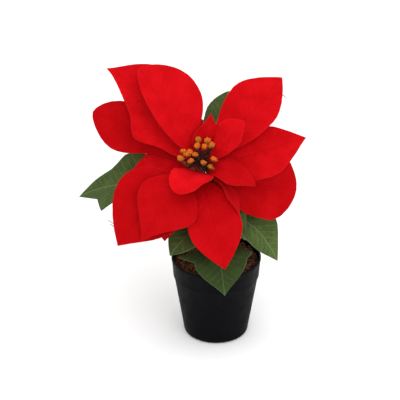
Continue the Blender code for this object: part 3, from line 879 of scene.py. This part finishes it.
def stem_point(part):
    """Middle of the stem at a part of its curve."""
    return curve_point(STEM_POINTS, part) * MM


def stem_radius(part):
    """Thin below, thicker in the head where the bracts are rooted."""
    left = (stem_point(1) - stem_point(part)).length
    blend = min(max((STEM_HEAD_LENGTH - left) / STEM_HEAD_TAPER, 0), 1)
    return STEM_RADIUS + (STEM_HEAD_RADIUS - STEM_RADIUS) * blend


def stem_part(seat):
    """How far along the stem a seat is that lies this far below its top."""
    low, high = 0.0, 1.0
    for _ in range(40):
        middle = (low + high) / 2
        if (stem_point(1) - stem_point(middle)).length > seat * MM:
            low = middle
        else:
            high = middle
    return low


def build_stem(material):
    """Stem with slight bumps where its leaves are set."""
    bm = bmesh.new()
    points = [Vector((0, 0, STEM_FOOT))]
    radii = [STEM_RADIUS]
    for row in range(STEM_ROWS + 1):
        part = row / STEM_ROWS
        points.append(stem_point(part))
        bump = STEM_BUMP * math.sin(STEM_BUMP_TURNS * part) if row < STEM_ROWS else 0
        radii.append(stem_radius(part) + bump)
    tube(bm, points, radii, STEM_SIDES)
    item = add_object("stem_stalk", bm, [material])
    settle(item, "green_stalk", "stem")


def bud_place(place):
    """Where a bud's middle is, from its place right, up and forward."""
    lean = math.radians(HEAD_LEAN)
    right, up, forward = place
    rise = Vector((0, math.cos(lean), math.sin(lean))) * up
    reach = Vector((0, -math.sin(lean), math.cos(lean))) * forward
    return stem_point(1) + (Vector((right, 0, 0)) + rise + reach) * MM


def build_filaments(bm, heart, way, chance):
    """Short dark filaments that fill the flower's middle all round."""
    across = way.orthogonal().normalized()
    along = way.cross(across)
    for place in FILAMENT_PLACES:
        points = [heart.lerp(bud_place(place), share) for share in FILAMENT_STEPS]
        tube(bm, points, [FILAMENT_RADIUS * share for share in FILAMENT_TAPER], FILAMENT_SIDES)
    for number in range(SHORT_FILAMENTS):
        angle = SHORT_FILAMENT_TURN * number
        tilt = math.radians(chance.uniform(*SHORT_FILAMENT_TILTS))
        out = across * math.cos(angle) + along * math.sin(angle)
        heading = out * math.sin(tilt) + way * math.cos(tilt)
        length = chance.uniform(*SHORT_FILAMENT_LENGTHS) * MM
        points = [heart + heading * length * share for share in SHORT_FILAMENT_STEPS]
        radii = [FILAMENT_RADIUS * share for share in SHORT_FILAMENT_TAPER]
        tube(bm, points, radii, FILAMENT_SIDES)


def add_head(heads, marks, middle, turn, colour):
    """One lumpy head, blunt at its far end and with a cleft across it, and painted shade where it
    faces down.
    """
    shape = Matrix.Diagonal(BUD_SHAPE)
    tone, under = marks
    for point in bmesh.ops.create_icosphere(heads, subdivisions=4, radius=1)["verts"]:
        out = point.co.normalized()
        seed = out * BUD_GRAIN + middle * BUD_APART
        crumb = noise.noise(seed * BUD_CRUMB_GRAIN) * BUD_CRUMB + noise.noise(seed) * BUD_LUMP
        blunt = 1 + BUD_BLUNT * out.z
        cleft = -BUD_CLEFT * math.exp(-((out.x / BUD_CLEFT_WIDTH) ** 2)) * max(out.z, 0)
        point.co = out * (1 + crumb + cleft)
        point.co.x *= blunt
        point.co.y *= blunt
        point.co = Matrix.Translation(middle) @ turn @ shape @ point.co
        point[tone] = min(max(colour - BUD_TONE_FALL * out.z, 0), 1)
        # Painted shade where the head faces down
        shaded = BUD_SHADE_START - BUD_SHADE_FALL * (turn @ out).z
        point[under] = min(max(shaded, 0), 1)


def build_buds(skin_material, stalk_material, chance):
    """Grainy heads, and the stalks and cushion that carry them."""
    way = curve_way(STEM_POINTS, 1)
    foot = stem_point(1) + way * GAP
    heart = foot + way * CUSHION_HEART * BUD_CUSHION
    heads = bmesh.new()
    # Each head's tone, and the painted shade under it
    marks = [heads.verts.layers.float.new(name) for name in ("tone", "under")]
    stalks = bmesh.new()
    points = [foot + way * BUD_CUSHION * CUSHION_HEIGHT * share for share in CUSHION_STEPS]
    tube(stalks, points, [BUD_CUSHION * share for share in CUSHION_TAPER], CUSHION_SIDES)
    build_filaments(stalks, heart, way, chance)
    sag = Vector((0, 0, -BUD_STALK_SAG))
    last = len(BUD_STALK_TAPER) - 1
    for place in BUD_PLACES:
        middle = bud_place(place)
        points = [heart.lerp(middle, step / last) + sag * math.sin(math.pi * step / last)
                  for step in range(last + 1)]
        radii = [BUD_STALK_RADIUS * share for share in BUD_STALK_TAPER]
        tube(stalks, points, radii, BUD_STALK_SIDES)
        turn = (middle - heart).normalized().to_track_quat("Z", "Y").to_matrix().to_4x4()
        turn = turn @ Matrix.Rotation(chance.uniform(0, math.pi), 4, "Z")
        add_head(heads, marks, middle, turn, chance.random() ** 2)
    item = add_object("bud_heads", heads, [skin_material], sharp=80)
    settle(item, "ochre_buds", "flower_buds")
    item = add_object("bud_stalks", stalks, [stalk_material], sharp=60)
    settle(item, "ochre_buds", "flower_buds")


def seat_point(blade):
    """Where a blade is rooted, just off the stem's skin, and the way out."""
    part = stem_part(blade.seat)
    way = curve_way(STEM_POINTS, part)
    angle = math.radians(blade.side)
    out = Vector((math.cos(angle), math.sin(angle), 0))
    out = (out - out.dot(way) * way).normalized()
    return stem_point(part) + out * (stem_radius(part) + SEAT_GAP), out


def blade_course(blade):
    """Root, control points and tip of a blade's middle, and its side line."""
    root, out = seat_point(blade)
    tip = Vector(blade.tip) * MM
    way = (tip - root).normalized()
    face = Vector(blade.face)
    face = (face - face.dot(way) * way).normalized()
    right = way.cross(face)
    third = (tip - root) / 3
    bow = right * blade.sway * MM
    near = root + third + face * blade.arch[0] * MM + bow + out * STALK_PUSH
    far = root + third * 2 + face * blade.arch[1] * MM + bow
    return (root, near, far, tip), right


def blade_half_width(blade, side, part):
    """Half width at a part of the length, with the lobes of a cut margin."""
    if part <= blade.stalk:
        return STALK_HALF * min(1, STALK_START + STALK_SPREAD * part)
    run = (part - blade.stalk) / (1 - blade.stalk)
    if run >= 1:
        return 0.0
    if run < blade.widest:
        shape = math.sin(math.pi / 2 * run / blade.widest) ** blade.base
    else:
        shape = math.cos(math.pi / 2 * (run - blade.widest) / (1 - blade.widest)) ** blade.point
    width = shape * (blade.left if side < 0 else blade.right)
    for swell_side, place, reach, span in (*blade.swells, *WIDER.get(blade.name, ())):
        if swell_side * side > 0:
            near = max(0, 1 - abs(part - place) / span)
            width += reach * near * near * (3 - 2 * near)
    for lobe_side, place, reach in blade.lobes:
        if lobe_side * side > 0:
            width += reach * max(0, 1 - abs(part - place) / LOBE_SPAN)
    return max(width * MM, STALK_HALF * (1 - run))


def vein_relief(along, side, edge):
    """Height of the pressed cloth, in millimetres from the blade's own."""
    run = (along - abs(side) * VEIN_SLANT + VEIN_BEND * side * side) / VEIN_SPACING
    run += 0.5 if side > 0 else 0
    off = abs(2 * (run - math.floor(run)) - 1)
    calm = min(edge / VEIN_CALM_MARGIN, 1) * min(abs(side) / VEIN_CALM_MIDDLE, 1)
    rib = math.exp(-((side / RIB_WIDTH) ** 2)) * min(edge / RIB_CALM_MARGIN, 1)
    return -VEIN_DEPTH * off ** 4 * calm - RIB_DEPTH * rib


def ease(part, from_foot, from_tip):
    """1 along most of a blade, and less near its foot and its tip."""
    return min(1, part * from_foot) * min(1, (1 - part) * from_tip)


def blade_point(blade, course, part, across, along):
    """Point on the blade, with its side and edge distances in millimetres."""
    points, right = course
    middle = curve_point(points, part)
    way = curve_way(points, part)
    right = (right - right.dot(way) * way).normalized()
    up = right.cross(way)
    where = Vector((along, math.copysign(FRAY_APART, across), blade.seat)) / FRAY_SIZE
    fray = FRAY * RAGGED.get(blade.name, 1) * MM * noise.noise(where)
    half = blade_half_width(blade, across, part) + fray * ease(part, *FRAY_EASE)
    reach = half * abs(across)
    pick = 0 if across < 0 else 1
    bend = math.radians(blade.fold[pick]) * min(1, part / FOLD_START)
    ripple = math.sin(2 * math.pi * (blade.waves * part + WAVE_SHIFT * pick))
    fade = across * across * ease(part, *WAVE_EASE)
    rise = reach * math.sin(bend) + blade.wave * MM * ripple * fade
    side = math.copysign(reach, across) / MM
    edge = (half - reach) / MM
    relief = vein_relief(along, side, min(edge, (1 - part) * VEIN_CALM_TIP))
    relief *= min(1, part * VEIN_START)
    pucker = noise.noise(Vector((along, side, PUCKER_APART * blade.seat)) / PUCKER_SIZE)
    relief += PUCKER * pucker * min(1, part * PUCKER_START)
    sign = -1 if blade.name.startswith("leaf") else 1
    out = right * math.copysign(reach * math.cos(bend), across)
    place = middle + out + up * (rise + sign * relief * MM)
    return place, side, edge


def add_thread(item, blade, course, side, part, length):
    """A loose thread that hangs from a blade's margin."""
    inner = blade_point(blade, course, part, 0.5 * side, 0)[0]
    root = blade_point(blade, course, part, 0.99 * side, 0)[0]
    out = (root - inner).normalized()
    drop = Vector((0, 0, -THREAD_DROP * length))
    points = [root + out * length * share + drop * share * share for share in THREAD_STEPS]
    bm = bmesh.new()
    bm.from_mesh(item.data)
    cloth = set(bm.faces)
    tube(bm, points, [THREAD_RADIUS * share for share in THREAD_TAPER], THREAD_SIDES)
    for face in set(bm.faces) - cloth:
        face.material_index = THREAD_SLOT
    bm.to_mesh(item.data)
    bm.free()


def build_blade(blade, materials):
    """One bract or leaf of thin cloth, with a rim of its own material."""
    rows, columns = SMALL_GRID if blade.small else BLADE_GRID
    bm = bmesh.new()
    marks = [bm.verts.layers.float.new(name) for name in ("along", "side", "edge", "painted_shade")]
    # How much painted shade the blade gets
    painted_shade = PAINTED_SHADE_BY_BLADE.get(blade.name, PAINTED_SHADE)
    course = blade_course(blade)
    lines = []
    along = 0.0
    before = course[0][0]
    for row in range(rows + 1):
        part = row / rows
        here = curve_point(course[0], part)
        along += (here - before).length / MM
        before = here
        line = []
        for column in range(columns + 1 if row < rows else 1):
            across = 2 * column / columns - 1 if row < rows else 0
            place, side, edge = blade_point(blade, course, part, across, along)
            point = bm.verts.new(place)
            for layer, value in zip(marks, (along, side, edge, painted_shade)):
                point[layer] = value
            line.append(point)
        lines.append(line)
    for lower, upper in zip(lines, lines[1:]):
        for column in range(columns):
            corners = [lower[column], lower[column + 1]]
            corners += [upper[0]] if len(upper) == 1 else [upper[column + 1], upper[column]]
            bm.faces.new(corners)
    item = add_object(blade.name + "_cloth", bm, materials, sharp=80)
    solid = item.modifiers.new("thickness", "SOLIDIFY")
    solid.thickness = CLOTH_THICKNESS
    solid.offset = 0
    solid.material_offset_rim = 1
    apply_modifiers(item)
    for side, part, length in THREADS.get(blade.name, ()):
        add_thread(item, blade, course, side, part, length * MM)
    settle(item, "green_cloth" if blade.name.startswith("leaf") else "red_cloth", blade.name)


def look_at(item, aim):
    """Turn a lamp or the camera towards a point."""
    item.rotation_euler = (Vector(aim) - item.location).to_track_quat("-Z", "Y").to_euler()


def build_stage():
    """Pale floor, soft light from above the front, and the camera."""
    bpy.ops.mesh.primitive_plane_add(size=FLOOR_SIZE)
    floor = bpy.context.object
    floor.name = "floor"
    floor.data.materials.append(floor_paper())
    world = bpy.data.worlds.new("studio")
    bpy.context.scene.world = world
    world.use_nodes = True
    sky = world.node_tree.nodes["Background"]
    sky.inputs["Color"].default_value = (1, 1, 1, 1)
    sky.inputs["Strength"].default_value = SKY_STRENGTH
    for name, place, size, power in LAMPS:
        light = bpy.data.lights.new(name, "AREA")
        light.size = size
        light.energy = power
        lamp = bpy.data.objects.new(name, light)
        lamp.location = place
        look_at(lamp, LAMP_AIM)
        bpy.context.collection.objects.link(lamp)
    data = bpy.data.cameras.new("view")
    data.lens = CAMERA_LENS
    data.sensor_width = CAMERA_SENSOR
    camera = bpy.data.objects.new("view", data)
    camera.location = CAMERA_PLACE
    look_at(camera, CAMERA_AIM)
    bpy.context.collection.objects.link(camera)
    bpy.context.scene.camera = camera
    bpy.context.scene.view_settings.view_transform = "Standard"


def main():
    """Build every piece over the model, then the floor, light and camera."""
    chance = random.Random(SEED)
    red = [red_cloth(False), red_cloth(True), loose_thread()]
    green = [green_cloth(False), green_cloth(True)]
    build_pot(black_plastic())
    build_coir(brown_coir(), chance)
    build_stem(green_stalk())
    build_buds(bud_skin(), bud_stalk(), chance)
    for bract in BRACTS:
        build_blade(bract, red)
    for leaf in LEAVES:
        build_blade(leaf, green)
    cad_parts["filler"].material_slots[0].material = filler_foam()
    build_stage()


main()
